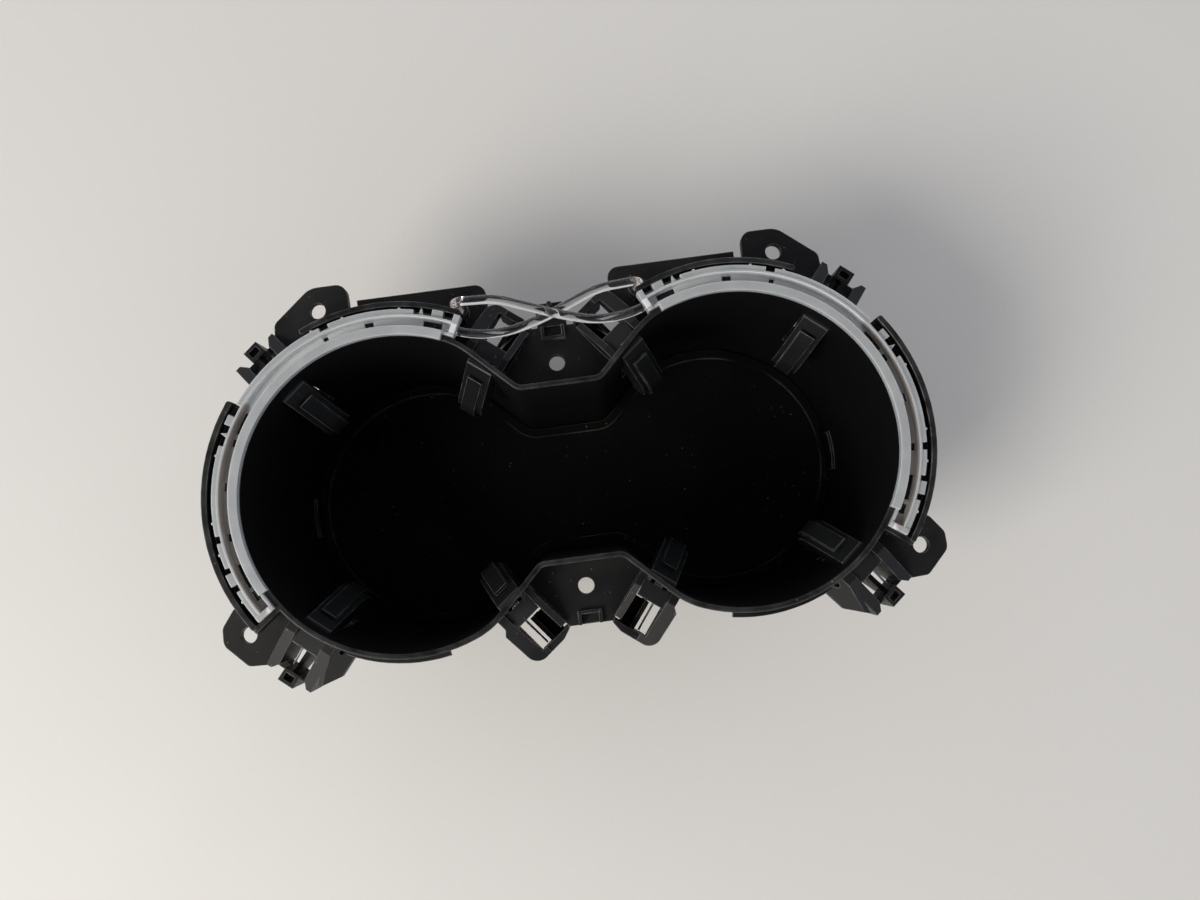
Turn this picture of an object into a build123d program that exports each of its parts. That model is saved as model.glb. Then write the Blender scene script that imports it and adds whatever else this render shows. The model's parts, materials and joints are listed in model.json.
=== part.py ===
from build123d import *
import math
import os

# Twin cup holder insert of a car's centre console, without its trim. Millimetres, +Z up.
# The origin is on the underside of the base, midway between the two cups.
# +X runs along the pair of cups, and +Y points to the rear, where the light pipes cross.
# Angles about a cup start at its outward X direction and grow towards the rear.

# Cups, in plan at the rim
cup_radius = 40.5
cup_offset = 44.0
nose_gap = 22.0
nose_half_width = 10.9
nose_round = 4.0
flank_angle = 118.0
flank_round = 20.0

# Pot shell
wall = 1.5
draft = 1.85
rim_height = 73.8
rim_round = 0.45
floor_thickness = 2.4
floor_round = 0.3
base_round = 3.0

# Trays round the rim that hold the light ring
side_tray_reach = 9.5
rear_tray_reach = 8.9
tray_drop = 2.6
tray_thickness = 1.5
tray_wall = 1.4
tray_wall_rise = 0.8
tray_skirt = 3.7
side_tray_angles = (-36.0, 35.0)
rear_tray_angles = (66.0, 115.0)
lamp_windows = ((-30.0, -26.5), (8.0, 11.0))

# Screw ears, shelves and rear plates, all in one mounting plane
mount_drop = 12.1
mount_thickness = 2.4
screw_radius = 2.15
rear_ear_angle = 70.9
rear_ear_reach = 14.0
rear_screw_reach = 15.1
rear_ear_outline = (
    (-15.0, 7.5), (-1.2, 8.2), (4.5, 9.9), (7.7, 0.6), (3.0, -12.0), (-1.1, -13.7), (-15.0, -12.0)
)
rear_ear_rounds = {2: 3.0, 3: 6.0, 4: 2.5}
front_ear_angle = -34.4
front_ear_reach = 14.6
front_ear_outline = (
    (-15.0, 7.5), (-1.2, 7.8), (4.1, 6.0), (6.7, 2.3), (5.2, -6.2), (0.2, -10.0), (-15.0, -9.0)
)
front_ear_rounds = {2: 3.0, 3: 3.0, 4: 2.0}
shelf_reach = 18.0
shelf_edge = 5.7
shelf_screw_reach = 8.0
clip_width = 4.6
clip_depth = 2.8
clip_lip = 0.8
clip_lip_height = 1.4
rear_tab_half_width = 4.0
rear_tab_reach = 24.5
rear_tab_round = 1.0
pin_radius = 0.7
pin_height = 5.5
rear_plate_reach = 13.5
rear_plate_inner = 27.4
rear_plate_outer = 7.4
plate_round = 3.0
front_rib_angles = (-100.0, -64.0)
front_rib_drop = 7.3
front_rib_thickness = 1.4
front_rib_proud = 1.5

# Grip fingers, in a frame with x outwards from the wall at the rim. Heights are from the axle.
outer_finger_angle = 50.2
inner_finger_angle = 128.0
axle_drop = 9.8
axle_x = 2.2
axle_radius = 1.2
axle_grip = 1.6
axle_clearance = 0.05
hub_radius = 2.3
cheek_out_share = 0.8
cheek_low_share = 0.6
finger_width = 7.4
finger_plate = 2.2
finger_cheek = 1.2
finger_clearance = 0.2
finger_rise = 3.3
finger_shoulder_out = 1.2
finger_shoulder_in = -0.9
finger_shoulder_round = 0.6
finger_ramp_in = -9.4
finger_ramp_drop = 13.0
finger_nose_in = -10.3
finger_nose_high = 17.0
finger_nose_low = 21.5
finger_nose_lean = 0.5
finger_nose_round = 6.0
finger_heel_in = -7.4
finger_heel_drop = 24.0
finger_heel_round = 3.0
pad_width = 4.3
pad_rise = 1.2
pad_start = 5.4
pad_cut_share = 3.0
tail_reach = 4.5
tail_low = 0.9
tail_high = 2.4

# Finger brackets on the outside of the pot, with heights from the axle
bracket_wall = 3.0
bracket_rise = 3.5
bracket_low_drop = 28.0
bracket_foot_drop = 14.0
bracket_flat = 4.5
bracket_fall = 5.5
outer_bracket_reach = 16.2
inner_bracket_reach = 17.3
end_wall = 1.9
end_wall_drop = 8.0
pocket_half_width = 2.3
pocket_drop = 2.0
pocket_wall = 0.9
pocket_proud = 1.7
end_cut = 2.2
stop_web = 1.3
stop_web_start = 7.2
stop_web_drop = 6.0
window_drop = 27.0
ledge_reach = 4.0
ledge_thickness = 1.2
ledge_drop = 4.0
gusset_width = 4.2
gusset_drop = 9.0
gusset_thickness = 3.0
gusset_corner = 9.3
gusset_lip = 0.9
inner_wall = 1.9
flange_root = 2.4
flange_width = 3.7
flange_step = 4.7
flange_depth = 6.0
flange_round = 3.4
tongue_edge = 2.4
tongue_side = 1.3
tongue_slit = 0.9

# Torsion springs
spring_wire = 0.6
spring_pitch = 0.65
spring_turns = 3
spring_clearance = 0.25
spring_room = 0.2
spring_leg = 11.0
spring_leg_slope = 41.0
spring_seat_gap = 0.3

# Ring carriers
band_width = 2.35
ring_height = 2.2
carrier_floor = 0.8
carrier_wall = 1.85
carrier_wall_rise = 1.6
channel_wall = 0.6
flange_step_down = 0.3
carrier_clearance = 0.15
carrier_angles = (-36.0, 114.3)
band_angles = (-29.5, 112.0)
carrier_end_wall = 1.4
end_clip_angles = (114.3, 116.2)
passage_length = 5.0
wall_segments = ((-36.0, -24.5), (-16.5, -8.5), (-6.1, 22.3), (36.0, 71.0), (74.0, 101.5))
square_tabs = ((-22.3, -18.3), (29.0, 32.2), (107.3, 110.8))
pointed_tabs = ((25.0, 27.0), (102.9, 104.9))
tab_proud = 0.7
floor_windows = (
    (-30.0, -26.5),
    (-25.0, -16.5),
    (-8.5, -6.0),
    (8.0, 11.0),
    (23.0, 25.5),
    (27.5, 35.0),
    (70.3, 72.0),
    (84.8, 87.8),
    (104.5, 111.0),
)
window_margin = 0.25
nib_angles = (-28.0, -12.0, -2.0, 19.0, 68.5, 79.0, 97.0)
nib_radius = 0.4

# Light pipes
pipe_radius = 1.2
pipe_side_clearance = 0.05
pipe_seat_clearance = 0.1
pipe_start_angle = -34.0
pipe_exit_angle = 113.0
pipe_exit_run = 11.0
pipe_bends = (9.3, 3.8, 3.5)
crossing_gap = 0.3
crossing_share = 0.1
crossing_dip = 6.9
rise_share = 0.55
rise_dip = 0.6
hook_angle = 112.74
hook_gap = 0.36
hook_bend = 3.0
hook_foot = 1.0
socket_wall = 1.1
socket_clearance = 0.3
socket_height = 3.0

# Floor mat
mat_thickness = 1.6
mat_border = 2.6
mat_border_height = 0.9
mat_clearance = 0.35
mat_notch_angle = 13.5
mat_notch_depth = 1.3
key_angle = 9.0
key_proud = 0.7
key_height = 10.0

# Sizes that follow from those above
slope = math.tan(math.radians(draft))
rim_outer = cup_radius + wall
tray_floor = rim_height - tray_drop
tray_wall_top = rim_height + tray_wall_rise
mount_height = rim_height - mount_drop
mount_low = mount_height - mount_thickness
front_rib_height = rim_height - front_rib_drop
axle_height = rim_height - axle_drop
finger_top = axle_height + finger_rise
bracket_top = axle_height + bracket_rise
bracket_low = axle_height - bracket_low_drop
bracket_foot = axle_height - bracket_foot_drop
pocket_top = axle_height - pocket_drop
window_sill = axle_height - window_drop
half_gap = finger_width / 2 + finger_clearance
bracket_half = half_gap + bracket_wall
channel_inner = cup_radius + band_width
channel_outer = channel_inner + 2 * (pipe_radius + pipe_side_clearance)
carrier_outer = channel_outer + carrier_wall
channel_middle = (channel_inner + channel_outer) / 2
channel_floor = tray_floor + carrier_floor
carrier_wall_top = rim_height + carrier_wall_rise
pipe_height = channel_floor + pipe_radius + pipe_seat_clearance
ring_top = rim_height + ring_height
hook_radius = cup_radius + rear_tray_reach + hook_gap + pipe_radius
coil_radius = axle_radius + spring_clearance + spring_wire / 2
stations = {
    "rear_outer": outer_finger_angle,
    "rear_inner": inner_finger_angle,
    "front_inner": -inner_finger_angle,
    "front_outer": -outer_finger_angle,
}


def polar(radius, angle):
    """Point at a radius and angle about the right cup's axis."""
    turn = math.radians(angle)
    return Vector(cup_offset + radius * math.cos(turn), radius * math.sin(turn))


def wall_distance(angle):
    """Distance from a cup's axis to its rim, which is straight past the flank angle."""
    if abs(angle) <= flank_angle:
        return cup_radius
    corner = Vector(nose_half_width, nose_gap) - Vector(cup_offset, 0)
    flank = polar(cup_radius, flank_angle) - Vector(cup_offset, 0) - corner
    ray = polar(1, abs(angle)) - Vector(cup_offset, 0)
    return corner.cross(flank).Z / ray.cross(flank).Z


def station(angle, reach=0.0):
    """Frame at the rim in a direction, with x outwards and y towards growing angles."""
    point = polar(wall_distance(angle) + reach, angle)
    return Location((point.X, point.Y, 0), (0, 0, angle))


def both_sides(shape):
    """A shape of the right cup together with its mirror image at the left cup."""
    return shape + mirror(shape, about=Plane.YZ)


def sector(inner, outer, angles, low, high):
    """Ring segment about the right cup's axis."""
    start, end = angles
    arcs = [CenterArc((cup_offset, 0), radius, start, end - start) for radius in (inner, outer)]
    ends = [Line(arcs[0] @ place, arcs[1] @ place) for place in (0, 1)]
    return Pos(0, 0, low) * extrude(make_face(arcs + ends), high - low)


def plate(points, rounds, low, high):
    """Flat plate from an outline, with a radius given for some of its corners."""
    outline = make_face(Polyline(*points, close=True))
    for corner, radius in rounds.items():
        outline = fillet(outline.vertices().sort_by_distance(points[corner])[0], radius)
    return Pos(0, 0, low) * extrude(outline, high - low)


def bar(length, width, low, high, start=0.0, shift=0.0):
    """Upright block in a station's frame, from a distance outwards along x."""
    size = Box(length, width, high - low)
    return Pos(start + length / 2, shift, (low + high) / 2) * size


def rim_outline():
    """Plan of the two cups and the open waist between the noses, at the rim."""
    flank_end = polar(cup_radius, flank_angle)
    corner = Vector(nose_half_width, nose_gap)
    edges = [
        CenterArc((cup_offset, 0), cup_radius, -flank_angle, 2 * flank_angle),
        CenterArc((-cup_offset, 0), cup_radius, 180 - flank_angle, 2 * flank_angle),
    ]
    for side in (-1, 1):
        tips = [(x * corner.X, side * corner.Y) for x in (-1, 1)]
        joins = [(x * flank_end.X, side * flank_end.Y) for x in (-1, 1)]
        edges += Polyline(joins[0], tips[0], tips[1], joins[1]).edges()
    outline = make_face(edges)
    nose_corners = outline.vertices().filter_by(lambda v: abs(v.X) < (corner.X + flank_end.X) / 2)
    outline = fillet(nose_corners, nose_round)
    flank_ends = outline.vertices().filter_by(
        lambda v: (Vector(abs(v.X), abs(v.Y)) - flank_end).length < 0.01
    )
    return fillet(flank_ends, flank_round)


outline = rim_outline()


def tapered(grown, low, round_radius):
    """Drafted body below the rim outline grown outwards, with its lower edge rounded."""
    top = Pos(0, 0, rim_height) * offset(outline, grown)
    body = extrude(top, low - rim_height, taper=draft)
    return fillet(body.edges().group_by(Axis.Z)[0], round_radius)


def floor_outline(inset):
    """Plan of the cups' floor, drawn in from the wall."""
    return offset(outline, -(rim_height - floor_thickness) * slope - inset)


def light_tray(angles, reach, wall_low):
    """Channel outside the rim, with an outer wall, that a ring carrier lies in."""
    low = tray_floor - tray_thickness
    outer = cup_radius + reach
    tray = sector(cup_radius, outer, angles, low, tray_floor)
    tray += sector(outer - tray_wall, outer, angles, wall_low, tray_wall_top)
    for angle in angles:
        end = polar(outer - tray_wall / 2, angle)
        post = Cylinder(tray_wall / 2, tray_wall_top - wall_low)
        tray += Pos(end.X, end.Y, (wall_low + tray_wall_top) / 2) * post
    return tray


def light_trays():
    """The right cup's side tray, closed at its front end, and its rear tray."""
    low = tray_floor - tray_thickness
    trays = light_tray(side_tray_angles, side_tray_reach, low - tray_skirt)
    trays += light_tray(rear_tray_angles, rear_tray_reach, mount_low)
    start = side_tray_angles[0]
    outer = cup_radius + side_tray_reach
    closing = math.degrees(tray_wall / outer)
    trays += sector(cup_radius, outer, (start - closing, start), low, rim_height)
    for angles in lamp_windows:
        trays -= sector(
            channel_inner + window_margin, channel_outer - window_margin, angles, low, tray_floor
        )
    return trays


def screw_hole(place):
    """Through hole for a screw in the mounting plane."""
    return place * Pos(0, 0, (mount_low + mount_height) / 2) * Cylinder(screw_radius, 3 * mount_thickness)


def ears():
    """The right cup's two screw ears."""
    rear = plate(rear_ear_outline, rear_ear_rounds, mount_low, mount_height)
    front = plate(front_ear_outline, front_ear_rounds, mount_low, mount_height)
    return (
        station(rear_ear_angle, rear_ear_reach) * rear
        + station(front_ear_angle, front_ear_reach) * front
    )


def shelf(end_reach):
    """Rear shelf between the two inner brackets, from the nose outwards."""
    bracket_side = station(inner_finger_angle) * Pos(0, half_gap + inner_wall / 2)
    root = bracket_side.position
    tip_y = nose_gap + end_reach
    points = ((-shelf_edge, tip_y), (shelf_edge, tip_y), (root.X, root.Y))
    points += ((nose_half_width, nose_gap), (-nose_half_width, nose_gap), (-root.X, root.Y))
    return plate(points, {}, mount_low, mount_height)


def clip(tip_y):
    """Lip round the clip notch at a shelf's outer edge, and the notch."""
    low = mount_height - mount_thickness / 2
    lip_width = clip_width + 2 * clip_lip
    lip_depth = clip_depth + clip_lip
    high = mount_height + clip_lip_height
    lip = bar(lip_width, lip_depth, low, high, -lip_width / 2, tip_y - lip_depth / 2)
    notch = bar(clip_width, clip_depth, mount_low, high, -clip_width / 2, tip_y - clip_depth / 2)
    return lip, notch


def rear_plate():
    """Flat plate behind the right cup, under the light pipe's hook."""
    back = cup_radius + rear_plate_reach
    left = cup_offset - rear_plate_inner
    right = cup_offset + rear_plate_outer
    points = ((left, back), (right, back), (right, nose_gap), (left, nose_gap + rear_plate_reach))
    return plate(points, {0: plate_round}, mount_low, mount_height)


def bracket_profile(reach):
    """Side view of a bracket: flat over the axle, falling outwards, with a rising lower edge."""
    return Plane.XZ * make_face(
        Polyline(
            (-wall, bracket_top),
            (bracket_flat, bracket_top),
            (reach, bracket_top - bracket_fall),
            (reach, bracket_foot),
            (wall, bracket_low),
            (-wall, bracket_low),
            close=True,
        )
    )


def stop_rib(reach):
    """Upright web in the middle of a bracket, just short of the pressed finger."""
    end = reach - end_wall / 2
    web = Pos(0, stop_web / 2, 0) * extrude(bracket_profile(reach), stop_web)
    top = axle_height - stop_web_drop
    return web & bar(end - stop_web_start, stop_web, bracket_low, top, stop_web_start)


def outer_bracket():
    """Bracket of an outer finger: two side walls with slanted ends, and an end with a spring pocket."""
    reach = outer_bracket_reach
    start = reach - end_wall
    wall_slab = Pos(0, bracket_half, 0) * extrude(bracket_profile(reach), bracket_wall)
    corner = ((reach, half_gap), (reach - end_cut, half_gap), (reach, half_gap + bracket_wall / 2))
    wall_slab -= plate(corner, {}, axle_height - end_wall_drop, bracket_top)
    walls = wall_slab + mirror(wall_slab, about=Plane.XZ)
    end = bar(end_wall, 2 * half_gap, bracket_foot, axle_height - end_wall_drop, start)
    length = end_wall + pocket_proud
    pocket = bar(length, 2 * pocket_half_width, bracket_foot, pocket_top, start)
    hollow = bar(
        length - 2 * pocket_wall,
        2 * (pocket_half_width - pocket_wall),
        bracket_foot,
        pocket_top,
        start + pocket_wall,
    )
    return walls + end + (pocket - hollow) + stop_rib(reach)


def inner_bracket():
    """Bracket of a front inner finger: a wall on the shelf's side, a round flange, and a tongue."""
    reach = inner_bracket_reach
    start = reach - end_wall
    shelf_wall = Pos(0, -half_gap, 0) * extrude(bracket_profile(reach), inner_wall)
    shelf_wall -= bar(2 * reach, 4 * half_gap, bracket_low, bracket_top, start - tongue_slit, -half_gap)
    edge = half_gap + flange_width
    points = (
        (-wall, half_gap),
        (start, half_gap),
        (start, tongue_edge),
        (reach, tongue_edge),
        (reach, edge),
        (flange_step + flange_width - flange_root, edge),
        (flange_step, half_gap + flange_root),
        (-wall, half_gap + flange_root),
    )
    flange = plate(points, {4: flange_round}, axle_height - flange_depth, bracket_top)
    flange &= Pos(0, edge, 0) * extrude(bracket_profile(reach), 2 * edge)
    side = half_gap + tongue_side
    outline = (
        (start, tongue_edge + end_wall),
        (reach, tongue_edge + end_wall),
        (reach, -pocket_half_width),
        (reach - end_wall / 2, -side),
        (start, -side),
    )
    tongue = plate(outline, {}, bracket_foot, pocket_top)
    return shelf_wall + flange + tongue + stop_rib(reach)


def gusset():
    """Sloping web on the forward side of a front outer bracket."""
    depth = outer_bracket_reach
    near = -bracket_half
    far = near - gusset_width
    points = (
        (-wall, near),
        (depth, near),
        (depth - end_wall, near - gusset_lip),
        (gusset_corner, far),
        (-wall, far),
    )
    web = plate(points, {}, bracket_low, bracket_top)
    far_top = bracket_top - gusset_drop
    section = Plane.YZ * make_face(
        Polyline(
            (near, bracket_top),
            (far, far_top),
            (far, far_top - gusset_thickness),
            (near, bracket_top - gusset_thickness),
            close=True,
        )
    )
    web &= Pos(-2 * wall, 0, 0) * extrude(section, 2 * depth)
    return web & Pos(0, near, 0) * extrude(bracket_profile(depth), gusset_width)


def ledge():
    """Wedge below a finger's window that closes the bracket towards the wall."""
    profile = Plane.XZ * make_face(
        Polyline(
            (-wall, bracket_low),
            (ledge_reach, bracket_low),
            (ledge_reach, bracket_low - ledge_thickness),
            (-wall, bracket_low - ledge_drop),
            close=True,
        )
    )
    return extrude(profile, half_gap + inner_wall, both=True)


def brackets():
    """The right cup's four finger brackets."""
    parts = station(-outer_finger_angle) * gusset()
    for angle in stations.values():
        parts += station(angle) * ledge()
    for angle in (-outer_finger_angle, outer_finger_angle):
        parts += station(angle) * outer_bracket()
    parts += station(-inner_finger_angle) * inner_bracket()
    return parts + station(inner_finger_angle) * mirror(inner_bracket(), about=Plane.XZ)


def finger_openings():
    """Window, free space and axle holes of the right cup's four fingers."""
    cuts = Part()
    lintel = finger_top + finger_clearance
    axle_hole = Pos(axle_x, 0, axle_height) * (
        Rot(90, 0, 0) * Cylinder(axle_radius + axle_clearance, 4 * bracket_half)
    )
    for angle in stations.values():
        reach = outer_bracket_reach if abs(angle) < 90 else inner_bracket_reach
        window = bar(4 * wall, 2 * half_gap, window_sill, lintel, -2.5 * wall)
        free = bar(reach - end_wall - wall, 2 * half_gap, bracket_low, bracket_top + wall, wall)
        cuts += station(angle) * (window + free + axle_hole - stop_rib(reach))
    return cuts


def pipe_socket():
    """Round socket on the right rear plate that a light pipe's hook goes down into, and its bore."""
    bore = pipe_radius + socket_clearance
    height = mount_thickness + socket_height
    hook = polar(hook_radius, hook_angle)
    place = Pos(hook.X, hook.Y, mount_low + height / 2)
    return place * Cylinder(bore + socket_wall, height), place * Cylinder(bore, 2 * height)


def wall_key():
    """Low key on the right cup's wall that turns the mat the right way round."""
    inner = cup_radius - (rim_height - floor_thickness) * slope - key_proud
    return sector(inner, cup_radius, (-key_angle, key_angle), floor_thickness, key_height)


def pot():
    """The moulded pot with everything that is one piece with it."""
    shell = tapered(wall, 0, base_round) - tapered(0, floor_thickness, floor_round)
    shell = fillet(shell.edges().filter_by_position(Axis.Z, rim_height, rim_height), rim_round)

    lip, notch = clip(nose_gap + shelf_reach)
    rear_tab = plate(
        (
            (-rear_tab_half_width, nose_gap),
            (-rear_tab_half_width, nose_gap + rear_tab_reach),
            (rear_tab_half_width, nose_gap + rear_tab_reach),
            (rear_tab_half_width, nose_gap),
        ),
        {1: rear_tab_round, 2: rear_tab_round},
        mount_low,
        mount_height,
    )
    socket, bore = pipe_socket()
    pin = Pos(0, nose_gap + rear_tab_reach - 2 * pin_radius, mount_height + pin_height / 2)
    front_rib = sector(
        cup_radius,
        rim_outer + front_rib_proud,
        front_rib_angles,
        front_rib_height,
        front_rib_height + front_rib_thickness,
    )

    outside = both_sides(light_trays() + ears() + rear_plate() + socket + brackets() + front_rib)
    outside += shelf(shelf_reach) + mirror(shelf(shelf_reach), about=Plane.XZ) + rear_tab
    outside += lip + mirror(lip, about=Plane.XZ)
    outside += pin * Cylinder(pin_radius, pin_height)
    outside -= tapered(wall / 2, floor_thickness / 2, floor_round)

    keys = both_sides(wall_key()) & tapered(wall / 2, 0, floor_round)

    holes = [station(rear_ear_angle, rear_screw_reach), station(front_ear_angle, front_ear_reach)]
    cuts = both_sides(sum((screw_hole(place) for place in holes), Part()) + finger_openings() + bore)
    for side in (-1, 1):
        cuts += screw_hole(Pos(0, side * (nose_gap + shelf_screw_reach), 0))
    cuts += notch + mirror(notch, about=Plane.XZ)
    return shell + outside + keys - cuts


def floor_mat():
    """Rubber mat with a raised border, notched at both outer ends for the pot's keys."""
    outer = floor_outline(mat_clearance)
    top = floor_thickness + mat_thickness
    mat = Pos(0, 0, floor_thickness) * extrude(outer, mat_thickness)
    border = extrude(outer - floor_outline(mat_clearance + mat_border), mat_border_height)
    mat += Pos(0, 0, top) * border
    edge = cup_radius - (rim_height - floor_thickness) * slope - mat_clearance
    notch = sector(
        edge - mat_notch_depth,
        edge + wall,
        (-mat_notch_angle, mat_notch_angle),
        floor_thickness,
        top + mat_border_height,
    )
    return mat - both_sides(notch)


def ring_carrier():
    """Right ring carrier: band on the rim, channel with windows, and a wall in segments with tabs."""
    inner = rim_outer + carrier_clearance
    start, end = carrier_angles
    carrier = sector(inner, carrier_outer, carrier_angles, tray_floor, channel_floor)
    carrier += sector(inner, channel_inner, carrier_angles, tray_floor, rim_height + ring_height / 2)
    carrier += sector(cup_radius, channel_inner, band_angles, rim_height, ring_top)
    carrier += sector(
        channel_outer, channel_outer + channel_wall, carrier_angles, tray_floor, carrier_wall_top
    )
    segment_top = carrier_wall_top - flange_step_down
    root = channel_outer + channel_wall / 2
    for angles in wall_segments:
        carrier += sector(root, carrier_outer, angles, channel_floor - carrier_floor / 2, segment_top)
    for angles in square_tabs:
        carrier += sector(
            root,
            carrier_outer + tab_proud,
            angles,
            channel_floor - carrier_floor / 2,
            carrier_wall_top - tab_proud,
        )
    for first, last in pointed_tabs:
        tip = polar(carrier_outer + tab_proud, (first + last) / 2)
        points = [(p.X, p.Y) for p in (polar(root, first), tip, polar(root, last))]
        carrier += plate(points, {}, channel_floor - carrier_floor / 2, carrier_wall_top - tab_proud)
    closing = math.degrees(carrier_end_wall / channel_middle)
    carrier += sector(inner, carrier_outer, (start, start + closing), tray_floor, carrier_wall_top)
    clip_wall = sector(inner, carrier_outer + tab_proud, end_clip_angles, tray_floor, carrier_wall_top)
    exit_point = polar(channel_middle, sum(end_clip_angles) / 2)
    bore = Rot(90, 0, 0) * Cylinder(pipe_radius + pipe_seat_clearance, passage_length)
    passage = Pos(exit_point.X, exit_point.Y, pipe_height) * (Rot(0, 0, pipe_exit_angle) * bore)
    carrier += clip_wall - passage
    for angles in floor_windows:
        carrier -= sector(
            channel_inner + window_margin,
            channel_outer - window_margin,
            angles,
            tray_floor,
            channel_floor,
        )
    for angle in nib_angles:
        place = polar(carrier_outer, angle)
        height = segment_top - channel_floor
        carrier += Pos(place.X, place.Y, channel_floor + height / 2) * Cylinder(nib_radius, height)
    return carrier


def light_pipe(lift):
    """Right ring's light pipe, which crosses the other one at a height set by lift."""
    arc = Pos(0, 0, pipe_height) * CenterArc(
        (cup_offset, 0), channel_middle, pipe_start_angle, pipe_exit_angle - pipe_start_angle
    )
    level = pipe_height + lift * (pipe_radius + crossing_gap / 2)
    leave = arc @ 1
    hook = polar(hook_radius, hook_angle)
    points = [
        leave,
        leave + (arc % 1) * pipe_exit_run,
        Vector(crossing_share * hook.X, hook.Y - crossing_dip, level),
        Vector(-rise_share * hook.X, hook.Y - rise_dip, level),
        Vector(-hook.X, hook.Y, level),
        Vector(-hook.X, hook.Y, mount_height - hook_foot),
    ]
    radii = []
    for corner, run in enumerate(pipe_bends, 1):
        turn = (points[corner] - points[corner - 1]).get_angle(points[corner + 1] - points[corner])
        radii.append(run / math.tan(math.radians(turn / 2)))
    route = FilletPolyline(*points, radius=radii + [hook_bend])
    path = Wire([arc.edge()] + list(route.edges()))
    section = Plane(origin=path @ 0, z_dir=path % 0) * Circle(pipe_radius)
    return sweep(section, path=path)


def finger_line():
    """Outline of a finger on the cup's side, from its shoulder down to its heel."""
    points = [
        (finger_shoulder_out, finger_top),
        (finger_shoulder_in, finger_top),
        (finger_ramp_in, axle_height - finger_ramp_drop),
        (finger_nose_in, axle_height - finger_nose_high),
        (finger_nose_in + finger_nose_lean, axle_height - finger_nose_low),
        (finger_heel_in, axle_height - finger_heel_drop),
    ]
    rounds = [finger_shoulder_round, finger_nose_round, finger_nose_round, finger_heel_round]
    return Plane.XZ * FilletPolyline(*points, radius=rounds)


def ramp():
    """Top of a finger's ramp and the directions down the ramp and out of its face."""
    high = Vector(finger_shoulder_in, 0, finger_top)
    low = Vector(finger_ramp_in, 0, axle_height - finger_ramp_drop)
    down = (low - high).normalized()
    return high, down, down.cross(Vector(0, 1, 0))


def grip_pad():
    """Raised pad down the middle of a finger's face, with a bevelled upper end."""
    band = make_face(offset(finger_line(), pad_rise, side=Side.LEFT))
    pad = extrude(band, pad_width / 2, both=True)
    high, down, out = ramp()
    bevel = (down + out) * pad_rise
    start = high + down * pad_start
    up = down * (-pad_cut_share * pad_start)
    far = start + bevel * pad_cut_share
    corners = [start - bevel, far, far + up, start - bevel + up]
    above = make_face(Polyline(*corners, close=True))
    return pad - extrude(above, finger_width, both=True, dir=(0, 1, 0))


def finger():
    """Grip finger in its station's frame: ramped plate with a pad, two cheeks, a tail and an axle."""
    front = finger_line()
    body = extrude(make_face(offset(front, finger_plate, side=Side.RIGHT)), finger_width / 2, both=True)
    rear = [
        (finger_heel_in, axle_height - finger_heel_drop),
        (axle_x + hub_radius * cheek_out_share, axle_height - hub_radius * cheek_low_share),
        (finger_shoulder_out, finger_top),
    ]
    web = make_face(list(front.edges()) + list((Plane.XZ * Polyline(*rear)).edges()))
    hub = Plane.XZ * Pos(axle_x, axle_height) * Circle(hub_radius)
    for shift in (finger_width / 2, finger_cheek - finger_width / 2):
        body += Pos(0, shift, 0) * extrude(web + hub, finger_cheek)
    body += grip_pad()
    axle_line = Pos(axle_x, 0, axle_height) * Rot(90, 0, 0)
    room_radius = coil_radius + spring_wire / 2 + spring_room
    body += bar(tail_reach, finger_width, axle_height + tail_low, axle_height + tail_high, axle_x)
    body -= axle_line * Cylinder(room_radius, finger_width - 2 * finger_cheek)
    return body + axle_line * Cylinder(axle_radius, 2 * (half_gap + axle_grip))


def torsion_spring(reach):
    """Spring on a finger's axle, with one leg on the finger's back and one on the bracket's end."""
    _, down, _ = ramp()
    start = Vector(down.Z, 0, -down.X)
    turn = math.radians(spring_leg_slope)
    away = Vector(math.cos(turn), 0, -math.sin(turn))
    leaving = Vector(-away.Z, 0, away.X)
    swept = (math.degrees(math.atan2(start.Z, start.X) - math.atan2(leaving.Z, leaving.X))) % 360
    height = spring_pitch * (spring_turns + swept / 360)
    coil_plane = Plane(origin=(axle_x, -height / 2, axle_height), x_dir=start, z_dir=(0, 1, 0))
    coil = coil_plane * Helix(spring_pitch, height, coil_radius)
    first = coil @ 0
    last = coil @ 1
    seat = reach - end_wall - spring_seat_gap - spring_wire / 2
    leg = (seat - last.X) / (coil % 1).X
    path = Wire([
        Edge.make_line(first - (coil % 0) * spring_leg, first),
        coil.edge(),
        Edge.make_line(last, last + (coil % 1) * leg),
    ])
    section = Plane(origin=path @ 0, z_dir=path % 0) * Circle(spring_wire / 2)
    return sweep(section, path=path)


def export_node(name, shape):
    """Write one solid to its own file, named after the node."""
    (solid,) = shape.solids()
    export_step(solid, os.path.join("parts", name + ".step"))


def main():
    os.makedirs("parts", exist_ok=True)
    export_node("pot", pot())
    export_node("floor_mat", floor_mat())
    carrier = ring_carrier()
    export_node("right_ring_carrier", carrier)
    export_node("left_ring_carrier", mirror(carrier, about=Plane.YZ))
    export_node("right_light_pipe", light_pipe(1))
    export_node("left_light_pipe", mirror(light_pipe(-1), about=Plane.YZ))
    grip = finger()
    for name, angle in stations.items():
        reach = outer_bracket_reach if abs(angle) < 90 else inner_bracket_reach
        pieces = {"finger": grip, "spring": torsion_spring(reach)}
        for piece, shape in pieces.items():
            placed = station(angle) * shape
            export_node(f"right_{name}_{piece}", placed)
            export_node(f"left_{name}_{piece}", mirror(placed, about=Plane.YZ))


main()
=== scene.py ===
"""Dresses a twin cup holder: moulded black pot, grip fingers, milky ring carriers and clear light pipes."""
import json
import math

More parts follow.
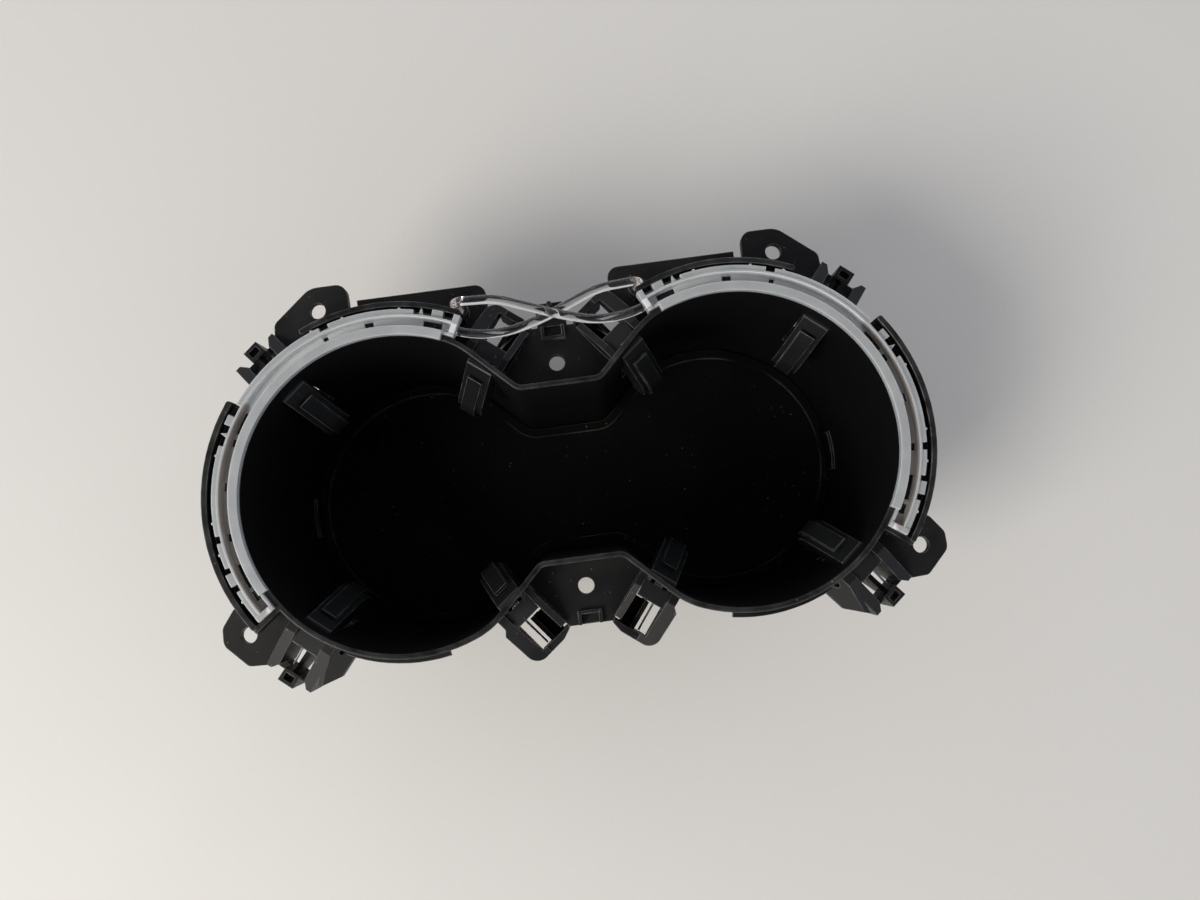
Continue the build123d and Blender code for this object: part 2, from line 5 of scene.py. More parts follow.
import bpy
from bpy.props import FloatProperty, FloatVectorProperty, PointerProperty
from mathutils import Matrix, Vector


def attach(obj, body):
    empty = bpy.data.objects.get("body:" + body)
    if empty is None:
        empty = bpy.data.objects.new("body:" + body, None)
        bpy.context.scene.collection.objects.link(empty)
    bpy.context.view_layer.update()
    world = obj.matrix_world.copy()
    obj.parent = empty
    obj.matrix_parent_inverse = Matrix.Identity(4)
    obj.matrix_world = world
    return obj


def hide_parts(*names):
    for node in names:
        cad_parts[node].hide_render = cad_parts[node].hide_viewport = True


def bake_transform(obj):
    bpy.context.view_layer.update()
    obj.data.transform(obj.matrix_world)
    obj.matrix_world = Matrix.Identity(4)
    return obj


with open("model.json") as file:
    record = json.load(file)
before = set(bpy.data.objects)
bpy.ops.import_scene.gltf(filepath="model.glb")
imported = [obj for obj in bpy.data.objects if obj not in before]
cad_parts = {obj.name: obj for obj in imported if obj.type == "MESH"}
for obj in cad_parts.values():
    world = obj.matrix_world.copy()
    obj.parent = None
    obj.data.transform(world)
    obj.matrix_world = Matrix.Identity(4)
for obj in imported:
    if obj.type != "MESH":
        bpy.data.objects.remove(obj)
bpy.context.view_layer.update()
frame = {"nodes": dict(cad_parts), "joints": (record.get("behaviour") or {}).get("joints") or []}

bl_info = {
    "name": "Twin Cup Holder",
    "version": (1, 0, 0),
    "blender": (4, 5, 0),
    "location": "View3D > Sidebar > Cup Holder",
    "description": "Finishes for a moulded twin cup holder, its springs, and a plain studio to show it in",
    "category": "Object",
}

SIDES = ("left", "right")
PLACES = ("rear_outer", "rear_inner", "front_inner", "front_outer")
FINGERS = [f"{side}_{place}" for side in SIDES for place in PLACES]
HINGES = {joint["name"]: joint for joint in frame["joints"]}

# How far a rounded normal leaves the flat one, from no edge to a full one
EDGE_TURN = (0.004, 0.16)
# Upward part of a normal, from a steep face to a level one
FACING_UP = (0.3, 1.0)
# Parts of a noise's range, from where a mark starts to where it is full
# The next two place the grey of edges and rims, partly wear and partly a painted highlight
WORN_AND_HIGHLIT_EDGE = (0.35, 0.7)
WORN_AND_HIGHLIT_RIM = (0.3, 0.8)
DUSTY_CLOUD = (0.45, 0.75)
SPECK = (0.745, 0.79)
# This one places the mat edges' grey, partly wear and partly a painted highlight
WORN_AND_HIGHLIT_MAT = (0.45, 0.65)
DUSTY_PATCH = (0.45, 0.85)
CRUMB = (0.735, 0.765)
CRUMB_PATCH = (0.45, 0.7)
THIN_PLACE = (0.3, 0.75)
PAINT_CLOUD = (0.35, 0.75)


def colour(name, description, default):
    """A colour that a user would change."""
    return FloatVectorProperty(
        name=name, description=description, default=default, subtype="COLOR", min=0.0, max=1.0
    )


def length(name, description, default):
    """A size in metres that a user would change."""
    return FloatProperty(
        name=name, description=description, default=default, min=0.0, unit="LENGTH", precision=6
    )


def stretch(name, description, default):
    """Where a change starts and ends along a direction, in metres."""
    return FloatVectorProperty(
        name=name, description=description, default=default, size=2, unit="LENGTH", precision=6
    )


def share(name, description, default):
    """An amount from 0 to 1 that a user would change."""
    return FloatProperty(
        name=name, description=description, default=default, min=0.0, max=1.0, subtype="FACTOR"
    )


class CupHolderFinish(bpy.types.PropertyGroup):
    """Colours, grain and wear of the cup holder's finishes."""

    pot_black: colour("Pot black", "Moulded plastic of the pot", (0.0032, 0.0032, 0.0036))
    finger_black: colour("Finger black", "Smoother plastic of the grip fingers", (0.0085, 0.0092, 0.0098))
    # Partly worn plastic, partly a painted highlight along the edges
    edge_wear_and_highlight_grey: colour("Edge grey", "Handled edges, where the grain is rubbed smooth", (0.25, 0.25, 0.245))
    dust_grey: colour("Dust", "Dust that lies on the plastic", (0.30, 0.29, 0.27))
    mat_black: colour("Mat black", "Rubber of the floor mat", (0.0008, 0.0008, 0.001))
    milky_white: colour("Milky white", "Light spreading plastic of the ring carriers", (0.45, 0.465, 0.465))
    milky_shade: colour("Milky shade", "Thin places in the ring carriers", (0.37, 0.385, 0.39))
    # Painted highlight on the ring carriers' edges
    milky_edge_highlight: colour("Milky edge", "Edges of the ring carriers, where light gathers", (0.72, 0.75, 0.78))
    # Painted light in the ring channels, standing in for light through their walls
    milky_channel_glow: colour("Milky deep", "Ring channels, lit through their walls", (0.80, 0.82, 0.83))
    milky_thin: colour("Milky thin", "Ring channels over the dark side trays", (0.40, 0.365, 0.335))
    pipe_clear: colour("Pipe clear", "Clear acrylic of the light pipes", (0.97, 0.98, 0.98))
    # Painted glow that makes a pipe's end look pale below its bend
    pipe_painted_glow: colour("Pipe glow", "Light that leaks out of a pipe below its bend", (0.080, 0.067, 0.063))
    wire_steel: colour("Wire steel", "Drawn wire of the torsion springs", (0.50, 0.50, 0.51))
    # Sizes of the grain and of the marks, and then their depths
    edge_round: length("Edge round", "How far an edge catches the light", 0.0004)
    grain_size: length("Grain", "Size of the moulded grain", 0.0004)
    cloud_size: length("Clouds", "Size of the cloudy places in the plastic's sheen", 0.018)
    wear_size: length("Wear", "Size of the worn stretches along the edges", 0.004)
    speck_size: length("Specks", "Size of the dust specks on the plastic", 0.0011)
    pore_size: length("Pores", "Size of the mat's pores", 0.0006)
    patch_size: length("Patches", "Size of the mat's dusty patches", 0.022)
    crumb_size: length("Crumbs", "Size of the crumbs on the mat", 0.0013)
    uneven_size: length("Unevenness", "Size of the thin places in the milky plastic", 0.006)
    mark_size: length("Marks", "Size of the faint marks on the light pipes", 0.0035)
    draw_size: length("Drawing marks", "Size of the marks on the springs' wire", 0.0004)
    pot_depth: length("Pot grain depth", "Depth of the pot's grain", 0.000025)
    finger_depth: length("Finger grain depth", "Depth of the fingers' grain", 0.00001)
    pore_depth: length("Pore depth", "Depth of the mat's pores", 0.00003)
    uneven_depth: length("Uneven depth", "Depth of the milky plastic's unevenness", 0.00004)
    mark_depth: length("Mark depth", "Depth of the marks on the light pipes", 0.000004)
    spread: length("Spread", "How far light spreads in the milky plastic", 0.002)
    # Shine, wear, dust and light
    pot_dull: share("Pot dullness", "Roughness of the pot", 0.38)
    finger_dull: share("Finger dullness", "Roughness of the fingers", 0.27)
    pot_shine: share("Pot shine", "Specular level of the pot", 0.30)
    finger_shine: share("Finger shine", "Specular level of the fingers", 0.50)
    mat_shine: share("Mat shine", "Specular level of the mat", 0.12)
    # How unevenly the edges' wear and painted highlight run
    edge_patchiness: share("Edge wear", "How unevenly the edges are rubbed", 0.88)
    # The rim's grey is partly wear and partly a painted highlight
    rim_wear_and_highlight: share("Rim wear", "How far the rim is rubbed", 0.13)
    dust_share: share("Dust share", "Dust on faces that look up", 0.05)
    speck_share: share("Speck share", "Strength of the specks", 0.35)
    side_specks: share("Side specks", "Part of the specks that upright faces keep", 0.25)
    mat_dust: share("Mat dust", "Dust on the mat", 0.015)
    # The mat edges' grey is partly wear and partly a painted highlight
    mat_edge_wear_and_highlight: share("Mat wear", "How far the mat's edges are rubbed", 0.5)
    crumb_share: share("Crumb share", "Strength of the crumbs", 0.5)
    # Strength of the painted highlight on the carriers' edges
    edge_light: share("Edge light", "How far a ring carrier's edges light up", 0.5)
    # Strength of the channels' painted light, and of their darker colour over the side trays
    channel_light: share("Channel light", "How far a ring's channel takes its own colour", 0.9)
    seat_fade: share("Seat fade", "How far a pipe melts into its ring", 0.94)
    # Places on the part that its finishes follow
    cup_offset: length("Cup offset", "From the part's middle to a cup's axis", 0.0440)
    # Over these heights the rim gets its painted highlight, its wear and a lower roughness
    rim: stretch("Rim", "Heights over which the rubbed rim begins", (0.0731, 0.0737))
    ring_floor: stretch("Ring floor", "Heights over which a ring carrier's floor ends", (0.0722, 0.0726))
    channel_inside: stretch("Channel inside", "From a cup's axis to a ring's channel", (0.0430, 0.0431))
    channel_outside: stretch("Channel outside", "From a cup's axis past a ring's channel", (0.0454, 0.0455))
    tray_side: stretch("Tray side", "From the part's middle to a side tray", (0.0795, 0.0802))
    pipe_seat: stretch("Pipe seat", "From the part's middle to a pipe's seat in its ring", (0.025, 0.029))
    pipe_bend: stretch("Pipe bend", "Heights over which a pipe's end bends down", (0.0690, 0.0708))


class CupHolderStudio(bpy.types.PropertyGroup):
    """Floor, lights and camera."""

    floor_white: colour("Floor white", "Plain pale floor", (0.81, 0.793, 0.755))
    floor_size: length("Floor size", "Width of the floor", 16.0)
    floor_drop: length("Floor drop", "How far the floor lies under the part", 0.0002)
    cloud_size: length("Floor clouds", "Size of the faint clouds in the floor's paint", 0.05)
    cloud_share: share("Cloud share", "Strength of the floor's clouds", 0.25)
    key_power: FloatProperty(
        name="Key power", description="Soft light from the front left", default=10.4, min=0.0
    )
    key_size: length("Key size", "Width of the soft light", 0.60)
    key_colour: colour("Key colour", "Warm light", (1.0, 0.95, 0.87))
    key_place: FloatVectorProperty(
        name="Key place", description="Where the soft light hangs", default=(-0.80, -0.50, 0.88),
        subtype="TRANSLATION", unit="LENGTH",
    )
    sky_colour: colour("Sky colour", "Cool light from all round", (0.91, 0.93, 1.0))
    sky_low: FloatProperty(name="Low sky", description="Light from the sides", default=1.28, min=0.0)
    sky_high: FloatProperty(name="High sky", description="Fainter light from above", default=0.10, min=0.0)
    camera_place: FloatVectorProperty(
        name="Camera place", description="Where the camera stands",
        default=(0.0041996, -0.0193187, 0.3407056), subtype="TRANSLATION", unit="LENGTH",
    )
    camera_turn: FloatVectorProperty(
        name="Camera turn", description="Which way the camera looks",
        default=tuple(math.radians(angle) for angle in (5.0727, -0.1835, -7.6248)), subtype="EULER",
    )
    camera_lens: FloatProperty(
        name="Lens", description="Focal length in millimetres", default=31.472, min=1.0
    )
    camera_sensor: FloatProperty(
        name="Sensor", description="Width of the sensor in millimetres", default=36.0, min=1.0
    )


def darker(tint, keep):
    """A colour that keeps only a part of its light."""
    return [part * keep for part in tint]


class Value:
    """A number that changes over a surface, for shader maths in plain expressions."""

    def __init__(self, shade, socket):
        self.shade = shade
        self.socket = socket

    def math(self, operation, first, second):
        """Add one Math node."""
        node = self.shade.node("ShaderNodeMath", {"operation": operation}, {0: first, 1: second})
        return Value(self.shade, node.outputs[0])

    def __add__(self, other):
        return self.math("ADD", self, other)

    __radd__ = __add__

    def __sub__(self, other):
        return self.math("SUBTRACT", self, other)

    def __rsub__(self, other):
        return self.math("SUBTRACT", other, self)

    def __mul__(self, other):
        return self.math("MULTIPLY", self, other)

    __rmul__ = __mul__

    def __pow__(self, other):
        return self.math("POWER", self, other)

    def __abs__(self):
        return self.math("ABSOLUTE", self, 0.0)

    def over(self, low, high):
        """0 below low, 1 above high, and straight between them."""
        inputs = {"Value": self, "From Min": low, "From Max": high}
        node = self.shade.node("ShaderNodeMapRange", {"clamp": True}, inputs)
        return Value(self.shade, node.outputs["Result"])


class Shade:
    """The nodes of one finish, or of the sky."""

    def __init__(self, owner):
        self.owner = owner
        self.owner.use_nodes = True
        self.tree = owner.node_tree
        self.tree.nodes.clear()
        self.place = self.node("ShaderNodeTexCoord").outputs["Object"]

    def node(self, kind, settings=None, inputs=None):
        """Add a node, with its settings first and then the values or links of its sockets."""
        node = self.tree.nodes.new(kind)
        for name, setting in (settings or {}).items():
            setattr(node, name, setting)
        for name, value in (inputs or {}).items():
            if isinstance(value, Value):
                self.tree.links.new(value.socket, node.inputs[name])
            elif isinstance(value, bpy.types.NodeSocket):
                self.tree.links.new(value, node.inputs[name])
            else:
                node.inputs[name].default_value = value
        return node

    def along(self, axis):
        """Place along one of the part's axes, in metres."""
        return Value(self, self.node("ShaderNodeSeparateXYZ", {}, {"Vector": self.place}).outputs[axis])

    def noise(self, size, detail, stretched=None):
        """Noise with features of a size in metres, from 0 to 1."""
        place = self.place
        if stretched:
            place = self.node("ShaderNodeMapping", {}, {"Vector": place, "Scale": stretched}).outputs[0]
        node = self.node("ShaderNodeTexNoise", {}, {"Vector": place, "Scale": 1.0 / size, "Detail": detail})
        return Value(self, node.outputs[0])

    def mix(self, factor, first, second):
        """A colour between two colours."""
        inputs = {"Factor": factor, 6: self.rgba(first), 7: self.rgba(second)}
        return self.node("ShaderNodeMix", {"data_type": "RGBA"}, inputs).outputs[2]

    def rgba(self, tint):
        """A property's colour with its alpha, or a socket as it is."""
        return tint if isinstance(tint, bpy.types.NodeSocket) else (*tint, 1.0)

    def rounded(self, radius):
        """Normal with its edges rounded, and how much of an edge there is, from 0 to 1."""
        normal = self.node("ShaderNodeBevel", {"samples": 6}, {"Radius": radius}).outputs["Normal"]
        flat = self.node("ShaderNodeNewGeometry").outputs["True Normal"]
        turn = self.node("ShaderNodeVectorMath", {"operation": "DOT_PRODUCT"}, {0: normal, 1: flat})
        return normal, (1.0 - Value(self, turn.outputs["Value"])).over(*EDGE_TURN)

    def upward(self):
        """How far a surface faces up, from 0 to 1."""
        flat = self.node("ShaderNodeNewGeometry").outputs["True Normal"]
        parts = self.node("ShaderNodeSeparateXYZ", {}, {"Vector": flat})
        return Value(self, parts.outputs["Z"]).over(*FACING_UP)

    def bump(self, height, depth, normal=None):
        """Normal that a height in metres gives, over the rounded one."""
        inputs = {"Strength": 1.0, "Distance": depth, "Height": height}
        if normal:
            inputs["Normal"] = normal
        return self.node("ShaderNodeBump", {}, inputs).outputs[0]

    def surface(self, **inputs):
        """Finish the material with one principled shader."""
        sockets = {}
        for key, value in inputs.items():
            sockets[key.replace("_", " ").title().replace("Ior", "IOR")] = value
        shader = self.node("ShaderNodeBsdfPrincipled", {}, sockets)
        self.node("ShaderNodeOutputMaterial", {}, {"Surface": shader.outputs[0]})
        return self.owner


def new_finish(name):
    """Nodes of a new, empty finish."""
    return Shade(bpy.data.materials.new(name))


def moulded_plastic(name, tint, finish, depth, dull, shine):
    """Black moulded plastic with a fine grain, edges grey with wear and with a painted highlight, and a
    little dust on top.
    """
    shade = new_finish(name)
    normal, edge = shade.rounded(finish.edge_round)
    grain = shade.noise(finish.grain_size, detail=3.0)
    clouds = shade.noise(finish.cloud_size, detail=4.0)
    wear = shade.noise(finish.wear_size, detail=3.0)
    specks = shade.noise(finish.speck_size, detail=1.0).over(*SPECK)
    up = shade.upward()
    rim = shade.along("Z").over(*finish.rim)
    # Edges and the rim go grey: partly wear, partly a painted highlight
    rubbed_and_highlit = edge * (1.0 - finish.edge_patchiness + wear.over(*WORN_AND_HIGHLIT_EDGE) * finish.edge_patchiness)
    # Painted highlight and wear along the rim's top
    rubbed_and_highlit += rim * wear.over(*WORN_AND_HIGHLIT_RIM) * finish.rim_wear_and_highlight
    dust = up * clouds.over(*DUSTY_CLOUD) * finish.dust_share
    dust += specks * (finish.side_specks + up) * finish.speck_share
    base = shade.mix(rubbed_and_highlit, tint, finish.edge_wear_and_highlight_grey)
    return shade.surface(
        base_color=shade.mix(dust, base, finish.dust_grey),
        roughness=dull + clouds * 0.12 + grain * 0.08 - edge * 0.08 - rim * 0.16,
        specular_ior_level=shine,
        normal=shade.bump(grain, depth, normal),
    )


def dusty_rubber(name, finish):
    """Matt black rubber of the mat, with dust in patches and pale crumbs."""
    shade = new_finish(name)
    normal, edge = shade.rounded(finish.edge_round)
    pores = shade.noise(finish.pore_size, detail=2.0)
    patches = shade.noise(finish.patch_size, detail=5.0)
    crumbs = shade.noise(finish.crumb_size, detail=1.0).over(*CRUMB) * patches.over(*CRUMB_PATCH)
    dust = patches.over(*DUSTY_PATCH) * finish.mat_dust + crumbs * finish.crumb_share
    # Mat edges go grey in patches: partly wear, partly a painted highlight
    rubbed_and_highlit = edge * patches.over(*WORN_AND_HIGHLIT_MAT) * finish.mat_edge_wear_and_highlight
    base = shade.mix(rubbed_and_highlit, finish.mat_black, finish.edge_wear_and_highlight_grey)
    return shade.surface(
        base_color=shade.mix(dust, base, finish.dust_grey),
        roughness=0.6 + patches * 0.2,
        specular_ior_level=finish.mat_shine,
        normal=shade.bump(pores, finish.pore_depth, normal),
    )


def milky_plastic(name, finish):
    """White plastic that spreads the light; a painted highlight on its edges and painted light in its
    channels make these brighter than its floor.
    """
    shade = new_finish(name)
    normal, edge = shade.rounded(finish.edge_round)
    uneven = shade.noise(finish.uneven_size, detail=3.0)
    sideways = abs(shade.along("X"))
    outwards = sideways - finish.cup_offset
    endways = shade.along("Y")
    reach = (outwards * outwards + endways * endways) ** 0.5
    channel = reach.over(*finish.channel_inside) * (1.0 - reach.over(*finish.channel_outside))
    low = 1.0 - shade.along("Z").over(*finish.ring_floor)
    thin = (channel + low).over(0.0, 1.0) * sideways.over(*finish.tray_side)
    base = shade.mix(uneven.over(*THIN_PLACE), finish.milky_white, finish.milky_shade)
    # Painted highlight along the carrier's edges
    base = shade.mix(edge * finish.edge_light, base, finish.milky_edge_highlight)
    # Painted light in the channel, brighter than the band around it
    base = shade.mix(channel * finish.channel_light, base, finish.milky_channel_glow)
    base = shade.mix(thin * finish.channel_light, base, finish.milky_thin)
    return shade.surface(
        base_color=base,
        roughness=0.32 + uneven * 0.14 + edge * 0.1,
        subsurface_weight=0.6,
        subsurface_radius=(1.0, 1.0, 1.0),
        subsurface_scale=finish.spread,
        normal=shade.bump(uneven, finish.uneven_depth, normal),
    )


def clear_acrylic(name, finish):
    """Polished clear rod that melts into its ring where it lies in it, with a faint painted glow below its
    bend.
    """
    shade = new_finish(name)
    marks = shade.noise(finish.mark_size, detail=2.0)
    seated = abs(shade.along("X")).over(*finish.pipe_seat)
    bent_down = 1.0 - shade.along("Z").over(*finish.pipe_bend)
    return shade.surface(
        base_color=shade.rgba(finish.pipe_clear),
        roughness=0.012 + marks * 0.02,
        alpha=1.0 - seated * finish.seat_fade,
        # Painted glow below the bend
        emission_color=shade.mix(bent_down, (0.0, 0.0, 0.0), finish.pipe_painted_glow),
        emission_strength=1.0,
        transmission_weight=1.0,
        ior=1.49,
        normal=shade.bump(marks, finish.mark_depth),
    )


def spring_wire(name, finish):
    """Drawn spring wire."""
    shade = new_finish(name)
    drawn = shade.noise(finish.draw_size, detail=2.0, stretched=(1.0, 1.0, 0.2))
    return shade.surface(
        base_color=shade.mix(drawn, finish.wire_steel, darker(finish.wire_steel, keep=0.7)),
        metallic=1.0,
        roughness=0.28 + drawn * 0.2,
    )


def floor_paint(name, studio):
    """Pale paint with faint clouds."""
    shade = new_finish(name)
    clouds = shade.noise(studio.cloud_size, detail=4.0)
    clouded = clouds.over(*PAINT_CLOUD) * studio.cloud_share
    return shade.surface(
        base_color=shade.mix(clouded, studio.floor_white, darker(studio.floor_white, keep=0.95)),
        roughness=0.55 + clouds * 0.1,
    )


def dress(piece, material):
    """Give a piece one finish all over."""
    piece.data.materials.clear()
    piece.data.materials.append(material)
    for face in piece.data.polygons:
        face.material_index = 0


def start_clean():
    """Object mode with nothing selected."""
    if bpy.context.object and bpy.context.object.mode != "OBJECT":
        bpy.ops.object.mode_set(mode="OBJECT")
    bpy.ops.object.select_all(action="DESELECT")


def slab(context, name, centre, turn, size, edge):
    """Plate with eased edges: a flat rectangle at its place, pulled up to its thickness."""
    start_clean()
    bpy.ops.mesh.primitive_plane_add(size=1.0, location=centre, rotation=(0.0, 0.0, turn))
    plate = context.object
    plate.name = name
    plate.scale = (size[0], size[1], 1.0)
    bpy.ops.object.transform_apply(location=True, rotation=True, scale=True)
    bpy.ops.object.mode_set(mode="EDIT")
    bpy.ops.mesh.select_all(action="SELECT")
    bpy.ops.mesh.extrude_region_move(TRANSFORM_OT_translate={"value": (0.0, 0.0, size[2])})
    bpy.ops.mesh.select_all(action="SELECT")
    bpy.ops.mesh.normals_make_consistent(inside=False)
    bpy.ops.mesh.bevel(offset=edge, segments=2, affect="EDGES")
    bpy.ops.object.mode_set(mode="OBJECT")
    return plate


class CUPHOLDER_OT_finish_pot(bpy.types.Operator):
    """Grained black plastic on the pot"""

    bl_idname = "cupholder.finish_pot"
    bl_label = "Finish Pot"

    def execute(self, context):
        finish = context.scene.cup_holder_finish
        plastic = moulded_plastic(
            "pot plastic", finish.pot_black, finish, finish.pot_depth, finish.pot_dull, finish.pot_shine
        )
        dress(frame["nodes"]["pot"], plastic)
        return {"FINISHED"}


class CUPHOLDER_OT_close_brackets(bpy.types.Operator):
    """Floors beside the stop webs of the inner brackets, and in the clip notches of both shelves"""

    bl_idname = "cupholder.close_brackets"
    bl_label = "Close Brackets"

    web_start: length("Web start", "From the axle to the near end of a bracket's floor", 0.0051)
    web_end: length("Web end", "From the axle to the far end of a bracket's floor", 0.0132)
    web_inner: length("Web inner side", "From the middle of the finger to the stop web's face", 0.00065)
    web_outer: length("Web outer side", "From the middle of the finger to the shelf's side", 0.0036)
    web_drop: length("Web drop", "From the axle down to a bracket's floor", 0.0150)
    thickness: length("Thickness", "Thickness of the floors", 0.0015)
    clip_width: length("Clip width", "Width of a clip notch", 0.0046)
    clip_depth: length("Clip depth", "Depth of a clip notch", 0.0028)
    clip_edge: length("Clip edge", "From the part's middle to a shelf's outer edge", 0.0400)
    clip_low: length("Clip low", "Height of the shelves' underside", 0.0593)
    edge: length("Edge", "Easing of the floors' edges", 0.0002)

    def web(self, context, hinge):
        """Floor of a bracket on the shelf's side of its stop web."""
        across, along, _ = hinge["axis"]
        outwards = Vector((-along, across, 0.0))
        sideways = Vector((-outwards.y, outwards.x, 0.0))
        axle = Vector(hinge["pos_m"])
        if sideways.x * axle.x > 0.0:
            sideways.negate()
        middle = axle + outwards * (self.web_start + self.web_end) / 2
        middle += sideways * (self.web_inner + self.web_outer) / 2
        middle.z -= self.web_drop
        size = (self.web_end - self.web_start, self.web_outer - self.web_inner, self.thickness)
        turn = math.atan2(outwards.y, outwards.x)
        return slab(context, hinge["name"].replace("hinge", "web"), middle, turn, size, self.edge)

    def clip_floor(self, context, place, side):
        """Floor in the clip notch of one shelf."""
        middle = (0.0, side * (self.clip_edge - self.clip_depth / 2), self.clip_low)
        size = (self.clip_width, self.clip_depth, self.thickness)
        return slab(context, f"{place}_clip_floor", middle, 0.0, size, self.edge)

    def execute(self, context):
        plates = [self.web(context, hinge) for name, hinge in HINGES.items() if "inner" in name]
        for place, side in (("front", -1.0), ("rear", 1.0)):
            plates.append(self.clip_floor(context, place, side))
        for plate in plates:
            dress(plate, bpy.data.materials["pot plastic"])
            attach(plate, "pot")
        return {"FINISHED"}


class CUPHOLDER_OT_finish_fingers(bpy.types.Operator):
    """Smoother black plastic on the eight grip fingers"""

    bl_idname = "cupholder.finish_fingers"
    bl_label = "Finish Grip Fingers"

    def execute(self, context):
        finish = context.scene.cup_holder_finish
        plastic = moulded_plastic(
            "finger plastic", finish.finger_black, finish, finish.finger_depth, finish.finger_dull,
            finish.finger_shine,
        )
        for finger in FINGERS:
            dress(frame["nodes"][f"{finger}_finger"], plastic)
        return {"FINISHED"}


class CUPHOLDER_OT_finish_mat(bpy.types.Operator):
    """Dusty rubber on the floor mat"""

    bl_idname = "cupholder.finish_mat"
    bl_label = "Finish Floor Mat"

    def execute(self, context):
        dress(frame["nodes"]["floor_mat"], dusty_rubber("mat rubber", context.scene.cup_holder_finish))
        return {"FINISHED"}


class CUPHOLDER_OT_finish_rings(bpy.types.Operator):
    """Milky plastic on the ring carriers and clear acrylic on the light pipes"""

    bl_idname = "cupholder.finish_rings"
    bl_label = "Finish Light Rings"

    def execute(self, context):
        finish = context.scene.cup_holder_finish
        milky = milky_plastic("milky plastic", finish)
        clear = clear_acrylic("clear acrylic", finish)
        for side in SIDES:
            dress(frame["nodes"][f"{side}_ring_carrier"], milky)
            dress(frame["nodes"][f"{side}_light_pipe"], clear)
        return {"FINISHED"}


class CUPHOLDER_OT_wind_springs(bpy.types.Operator):
    """Smooth copies of the torsion springs in drawn wire, in place of the part's own"""

    bl_idname = "cupholder.wind_springs"
    bl_label = "Wind Springs"

    coil_half_length: length("Coil half length", "Half of the coil, along the axle", 0.00105)
    merge_gap: length("Merge gap", "Corners nearer than this are one", 0.000001)
    smooth_angle: FloatProperty(
        name="Smooth angle", description="Edges flatter than this are smooth", default=math.radians(40),
        subtype="ANGLE",
    )

    def execute(self, context):
        wire = spring_wire("spring wire", context.scene.cup_holder_finish)
        for finger in FINGERS:
            node = frame["nodes"][f"{finger}_spring"]
            spring = bpy.data.objects.new(f"{finger}_coil", node.data.copy())
            context.scene.collection.objects.link(spring)
            start_clean()
            spring.select_set(True)
            context.view_layer.objects.active = spring
            bpy.ops.object.mode_set(mode="EDIT")
            bpy.ops.mesh.select_all(action="SELECT")
            bpy.ops.mesh.remove_doubles(threshold=self.merge_gap)
            bpy.ops.object.mode_set(mode="OBJECT")
            bpy.ops.object.shade_smooth_by_angle(angle=self.smooth_angle)
            dress(spring, wire)
            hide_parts(f"{finger}_spring")
            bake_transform(spring)
        return {"FINISHED"}


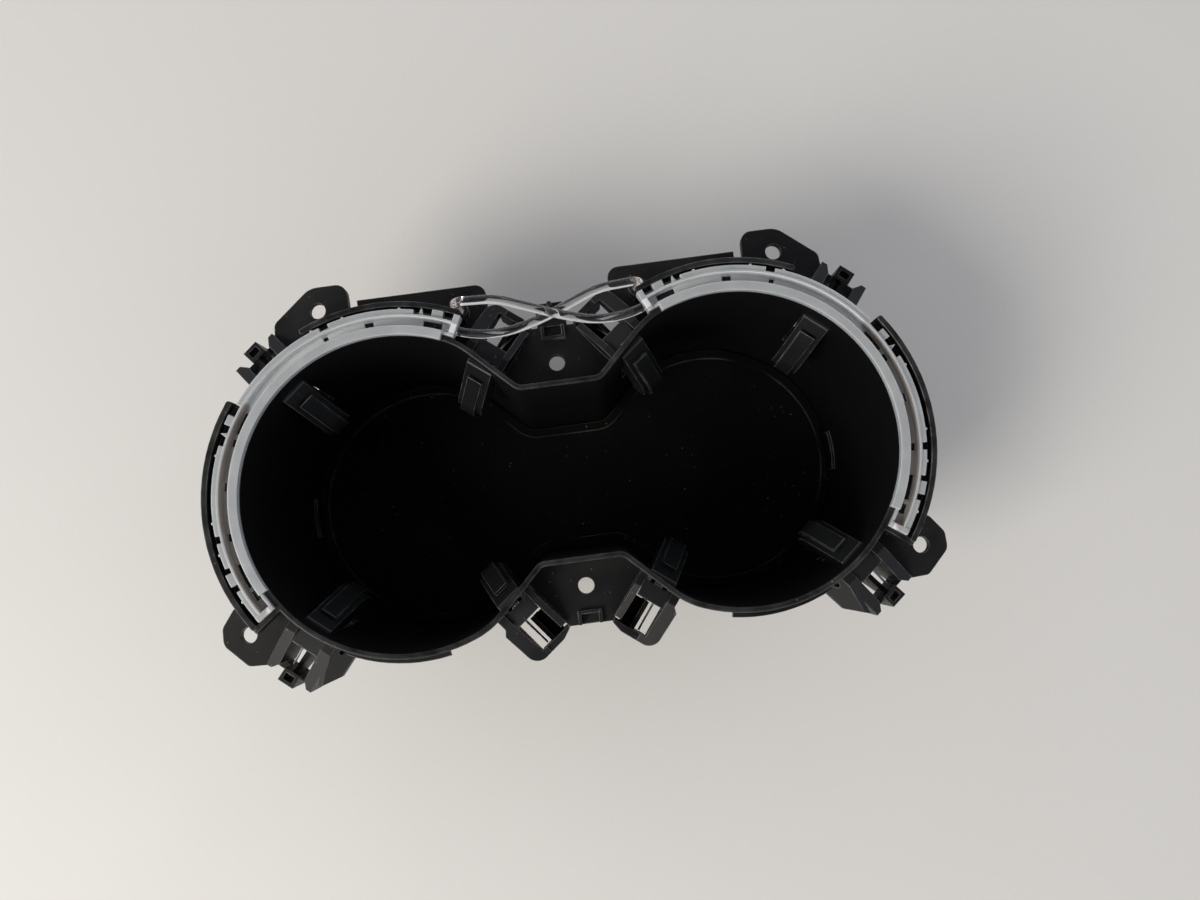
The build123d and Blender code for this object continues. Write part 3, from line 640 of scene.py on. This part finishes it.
class CUPHOLDER_OT_lay_studio(bpy.types.Operator):
    """Pale floor, soft lights and the camera above the cups"""

    bl_idname = "cupholder.lay_studio"
    bl_label = "Lay Studio"

    def execute(self, context):
        studio = context.scene.cup_holder_studio
        self.lay_floor(context, studio)
        self.hang_lights(context, studio)
        self.stand_camera(context, studio)
        return {"FINISHED"}

    def lay_floor(self, context, studio):
        """Wide round floor just under the part."""
        start_clean()
        place = (0.0, 0.0, -studio.floor_drop)
        bpy.ops.mesh.primitive_circle_add(
            vertices=96, radius=studio.floor_size / 2, fill_type="NGON", location=place
        )
        floor = context.object
        floor.name = "floor"
        dress(floor, floor_paint("floor paint", studio))

    def hang_lights(self, context, studio):
        """One soft light, and a sky that is brighter at its edge than overhead."""
        start_clean()
        place = Vector(studio.key_place)
        bpy.ops.object.light_add(type="AREA", location=place)
        lamp = context.object
        lamp.name = "key light"
        lamp.data.size = studio.key_size
        lamp.data.energy = studio.key_power
        lamp.data.color = studio.key_colour
        lamp.rotation_euler = (-place).to_track_quat("-Z", "Y").to_euler()
        shade = Shade(bpy.data.worlds.new("sky"))
        direction = shade.node("ShaderNodeTexCoord").outputs["Generated"]
        height = shade.node("ShaderNodeSeparateXYZ", {}, {"Vector": direction}).outputs["Z"]
        inputs = {"Value": height, "To Min": studio.sky_low, "To Max": studio.sky_high}
        strength = shade.node("ShaderNodeMapRange", {}, inputs).outputs["Result"]
        inputs = {"Color": shade.rgba(studio.sky_colour), "Strength": strength}
        sky = shade.node("ShaderNodeBackground", {}, inputs)
        shade.node("ShaderNodeOutputWorld", {}, {"Surface": sky.outputs[0]})
        context.scene.world = shade.owner

    def stand_camera(self, context, studio):
        """Camera at the photograph's place, with everything sharp."""
        start_clean()
        bpy.ops.object.camera_add(location=studio.camera_place, rotation=studio.camera_turn)
        camera = context.object
        camera.name = "camera"
        camera.data.sensor_fit = "HORIZONTAL"
        camera.data.sensor_width = studio.camera_sensor
        camera.data.lens = studio.camera_lens
        camera.data.clip_start = 0.01
        camera.data.dof.use_dof = False
        context.scene.camera = camera
        context.scene.view_settings.view_transform = "Standard"


class CUPHOLDER_PT_panel(bpy.types.Panel):
    """Steps of the cup holder's making"""

    bl_label = "Cup Holder"
    bl_idname = "CUPHOLDER_PT_panel"
    bl_space_type = "VIEW_3D"
    bl_region_type = "UI"
    bl_category = "Cup Holder"

    def draw(self, context):
        for step in STEPS:
            self.layout.operator(step.bl_idname)
        for group in (context.scene.cup_holder_finish, context.scene.cup_holder_studio):
            for name in group.__annotations__:
                self.layout.prop(group, name)


STEPS = (
    CUPHOLDER_OT_lay_studio,
    CUPHOLDER_OT_finish_pot,
    CUPHOLDER_OT_close_brackets,
    CUPHOLDER_OT_finish_fingers,
    CUPHOLDER_OT_finish_mat,
    CUPHOLDER_OT_finish_rings,
    CUPHOLDER_OT_wind_springs,
)
CLASSES = (CupHolderFinish, CupHolderStudio, *STEPS, CUPHOLDER_PT_panel)


def register():
    for cls in CLASSES:
        bpy.utils.register_class(cls)
    bpy.types.Scene.cup_holder_finish = PointerProperty(type=CupHolderFinish)
    bpy.types.Scene.cup_holder_studio = PointerProperty(type=CupHolderStudio)


def unregister():
    del bpy.types.Scene.cup_holder_studio
    del bpy.types.Scene.cup_holder_finish
    for cls in reversed(CLASSES):
        bpy.utils.unregister_class(cls)


def main():
    register()
    bpy.ops.cupholder.lay_studio()
    bpy.ops.cupholder.finish_pot()
    bpy.ops.cupholder.close_brackets()
    bpy.ops.cupholder.finish_fingers()
    bpy.ops.cupholder.finish_mat()
    bpy.ops.cupholder.finish_rings()
    bpy.ops.cupholder.wind_springs()


if __name__ == "__main__":
    main()
